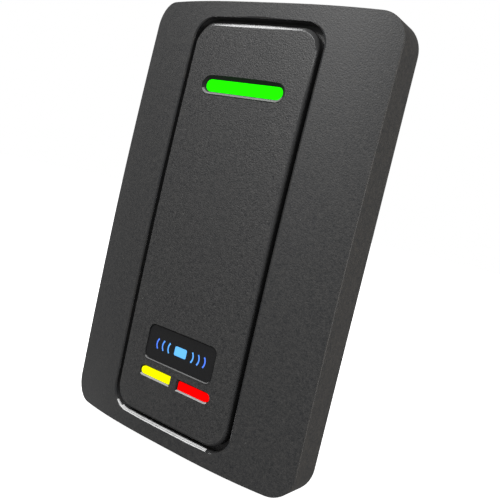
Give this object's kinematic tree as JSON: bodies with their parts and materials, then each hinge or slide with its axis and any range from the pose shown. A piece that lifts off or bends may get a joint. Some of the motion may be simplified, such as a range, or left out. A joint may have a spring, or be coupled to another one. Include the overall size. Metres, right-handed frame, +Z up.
{
  "type": "rfid card reader",
  "caption": "Slim upright wall reader for proximity cards: arched charcoal cover with a centre panel, lit status windows and a lit card-and-waves badge, on a screw-on base.",
  "frame": {"origin": "middle of the base's back face, which lies on the wall", "axes": "+Z up the wall, +X to the right seen from the front, -Y out of the wall towards the room"},
  "size_m": [0.0776, 0.0141, 0.119],
  "materials": {
    "charcoal_plastic": "fine spark-eroded texture, moulded in charcoal grey",
    "panel_plastic": "fine texture on the face, smooth satin edges",
    "green_light": "clear polycarbonate lit green",
    "amber_light": "clear polycarbonate lit yellow",
    "red_light": "clear polycarbonate lit red",
    "smoked_plate": "smoked acrylic, satin",
    "blue_light": "frosted polycarbonate lit blue",
    "brass": "turned and knurled",
    "steel": "zinc plated",
    "base_plastic": "moulded black, plain satin",
    "foam": "closed-cell foam",
    "rubber": "soft moulded rubber",
    "laminate": "glass-fibre laminate under green solder resist",
    "enamelled_copper": "wound enamelled copper wire",
    "moulded_epoxy": "black moulding compound",
    "tantalum_case": "orange moulded case",
    "green_lamp": "cast clear resin over green chip",
    "amber_lamp": "cast clear resin over yellow chip",
    "red_lamp": "cast clear resin over red chip",
    "blue_lamp": "cast clear resin over blue chip",
    "nylon": "natural nylon",
    "acetal": "white acetal"
  },
  "bodies": {
    "base": {"base_plate": "base_plastic", "wall_gasket": "foam", "cable_grommet": "rubber", "circuit_board": "laminate", "board_screw_top_left": "steel", "board_screw_top_right": "steel", "board_screw_bottom_left": "steel", "board_screw_bottom_right": "steel", "antenna_coil": "enamelled_copper", "microcontroller": "moulded_epoxy", "radio_chip": "moulded_epoxy", "clock_crystal": "steel", "voltage_regulator": "moulded_epoxy", "supply_capacitor": "tantalum_case", "tuning_capacitor": "tantalum_case", "buzzer": "moulded_epoxy", "green_led_1": "green_lamp", "green_led_2": "green_lamp", "green_led_3": "green_lamp", "green_led_4": "green_lamp", "amber_led": "amber_lamp", "red_led": "red_lamp", "blue_led_left": "blue_lamp", "blue_led_right": "blue_lamp", "wire_connector": "nylon", "tamper_switch": "moulded_epoxy", "tamper_spring": "steel"},
    "cover": {"front_housing": "charcoal_plastic", "centre_panel": "panel_plastic", "green_light_pipe": "green_light", "amber_light_pipe": "amber_light", "red_light_pipe": "red_light", "badge_plate": "smoked_plate", "badge_diffuser": "blue_light", "threaded_insert": "brass"},
    "security_screw": {"security_screw": "steel"},
    "tamper_plunger": {"tamper_plunger": "acetal"}
  },
  "joints": [
    {"name": "cover_pull", "type": "slide", "parent": "base", "child": "cover", "axis": [0, -1, 0], "range_m": [0, 0.03]},
    {"name": "security_screw_turn", "type": "hinge", "parent": "cover", "child": "security_screw", "pos_m": [0, -0.0045, -0.0562], "axis": [0, 0, -1], "range_deg": [0, 1080]},
    {"name": "tamper_travel", "type": "slide", "parent": "base", "child": "tamper_plunger", "axis": [0, 1, 0], "range_m": [0, 0.0011], "stiffness_N_per_m": 60, "springref_m": 0.0014, "deforming": ["tamper_spring"]}
  ]
}
